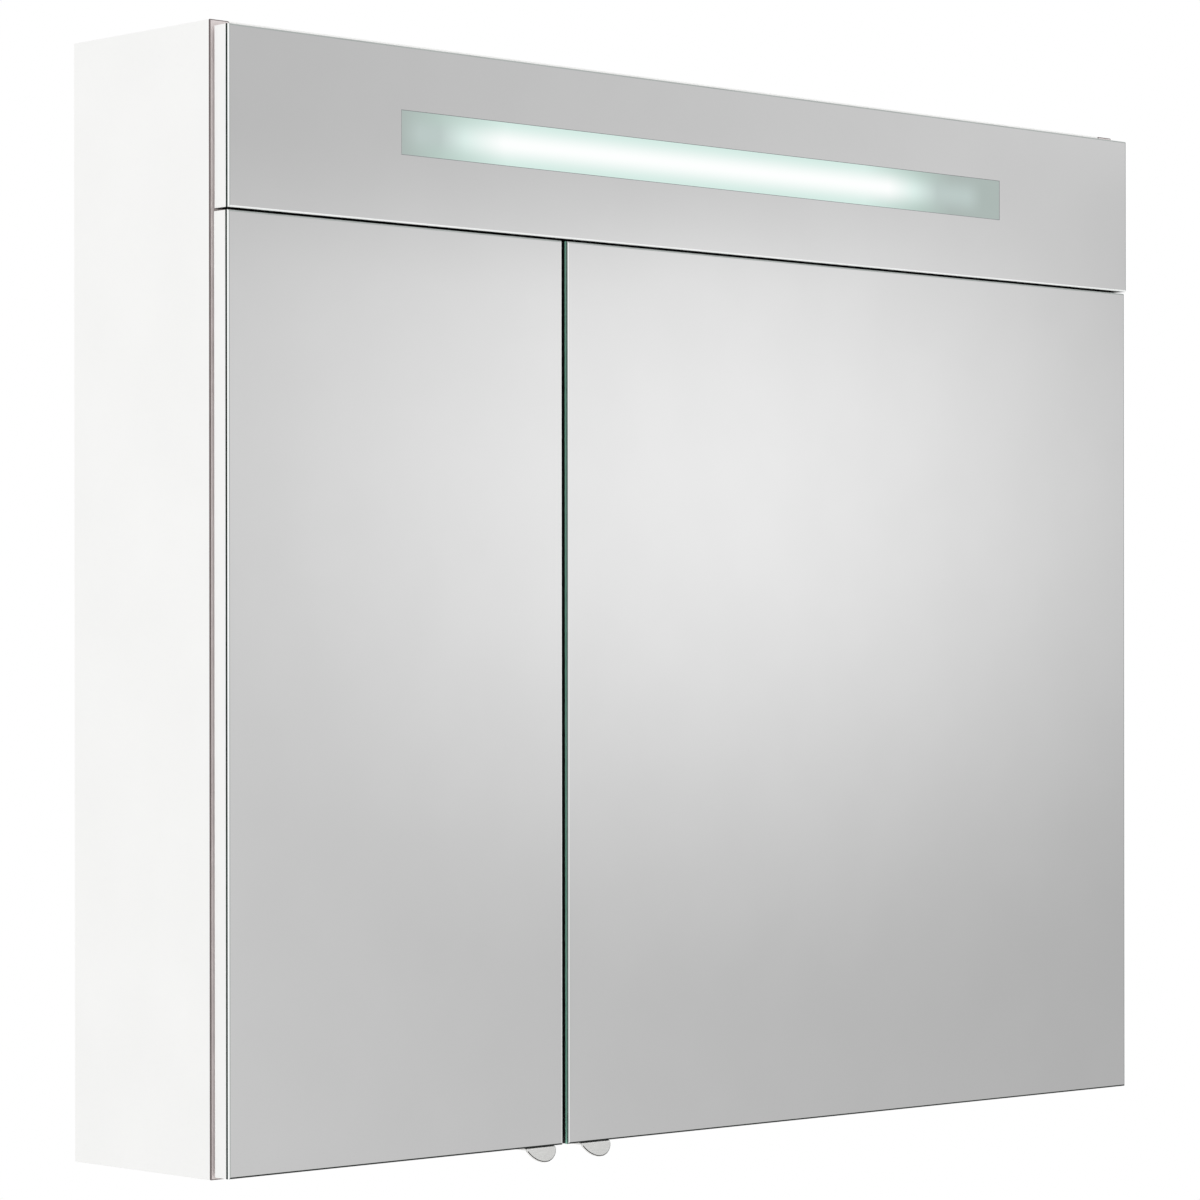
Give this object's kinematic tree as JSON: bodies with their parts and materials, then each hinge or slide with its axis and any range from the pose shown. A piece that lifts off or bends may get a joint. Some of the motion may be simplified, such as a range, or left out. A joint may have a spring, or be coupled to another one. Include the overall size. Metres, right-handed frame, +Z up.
{
  "type": "lighted mirror cabinet",
  "caption": "Wall-hung bathroom medicine cabinet: mirror doors on concealed hinges over glass shelves, below a fixed mirror panel with a lit satin window.",
  "frame": {"origin": "centre of the cabinet's wall-side face", "axes": "+X to the right seen from the front, +Y into the wall, +Z up; the front faces -Y"},
  "size_m": [0.9, 0.1695, 0.7564],
  "materials": {
    "white_board": "white satin lacquer on fibreboard",
    "back_board": "white hardboard",
    "dowel_wood": "plain beech",
    "mirror_glass": "silvered float glass with polished edges",
    "clear_glass": "clear float glass with polished edges",
    "lamp_glass": "phosphor-coated tube glass",
    "cap_aluminium": "drawn",
    "white_plastic": "moulded, satin",
    "clear_bumper": "soft clear rubber",
    "black_rubber": "moulded",
    "white_sheet": "white powder coat",
    "nickel_steel": "nickel plated",
    "satin_steel": "satin brushed",
    "zinc": "zinc plated"
  },
  "bodies": {
    "cabinet": {"side_left": "white_board", "side_right": "white_board", "top_panel": "white_board", "light_shelf": "white_board", "bottom_panel": "white_board", "partition": "white_board", "dowels": "dowel_wood", "cam_locks": "zinc", "cam_bolts": "zinc", "back_panel": "back_board", "fixing_plates": "zinc", "cable_grommet": "black_rubber", "light_panel_board": "white_board", "light_panel_mirror": "mirror_glass", "panel_brackets": "zinc", "bracket_screws": "zinc", "fluorescent_tube": "lamp_glass", "tube_cap_left": "cap_aluminium", "lampholder_left": "white_plastic", "tube_cap_right": "cap_aluminium", "lampholder_right": "white_plastic", "reflector": "white_sheet", "ballast": "white_sheet", "terminal_block": "white_plastic", "shelf_left_lower": "clear_glass", "shelf_left_upper": "clear_glass", "shelf_pegs_left": "zinc", "shelf_right_lower": "clear_glass", "shelf_right_upper": "clear_glass", "shelf_pegs_right": "zinc", "bumpers": "clear_bumper", "switch_unit": "white_plastic", "socket_insert": "white_plastic", "earth_springs": "zinc", "rocker_axle": "zinc", "hinge_left_upper_arm": "nickel_steel", "hinge_left_lower_arm": "nickel_steel", "hinge_left_pins": "nickel_steel", "hinge_left_plates": "nickel_steel", "hinge_left_plate_screws": "zinc", "hinge_right_upper_arm": "nickel_steel", "hinge_right_lower_arm": "nickel_steel", "hinge_right_pins": "nickel_steel", "hinge_right_plates": "nickel_steel", "hinge_right_plate_screws": "zinc"},
    "door_left": {"door_left_board": "white_board", "door_left_mirror": "mirror_glass", "door_left_pull": "satin_steel", "door_left_pull_screws": "zinc", "hinge_left_upper_cup": "nickel_steel", "hinge_left_lower_cup": "nickel_steel", "hinge_left_cup_screws": "zinc"},
    "door_right": {"door_right_board": "white_board", "door_right_mirror": "mirror_glass", "door_right_pull": "satin_steel", "door_right_pull_screws": "zinc", "hinge_right_upper_cup": "nickel_steel", "hinge_right_lower_cup": "nickel_steel", "hinge_right_cup_screws": "zinc"},
    "rocker": {"switch_rocker": "white_plastic"}
  },
  "joints": [
    {"name": "door_left_swing", "type": "hinge", "parent": "cabinet", "child": "door_left", "pos_m": [-0.4435, -0.156, -0.061], "axis": [0, 0, 1], "range_deg": [-95, 0]},
    {"name": "door_right_swing", "type": "hinge", "parent": "cabinet", "child": "door_right", "pos_m": [0.4405, -0.156, -0.061], "axis": [0, 0, 1], "range_deg": [0, 95]},
    {"name": "switch_press", "type": "hinge", "parent": "cabinet", "child": "rocker", "pos_m": [0.384, -0.1118, 0.2179], "axis": [1, 0, 0], "range_deg": [0, 16]}
  ]
}
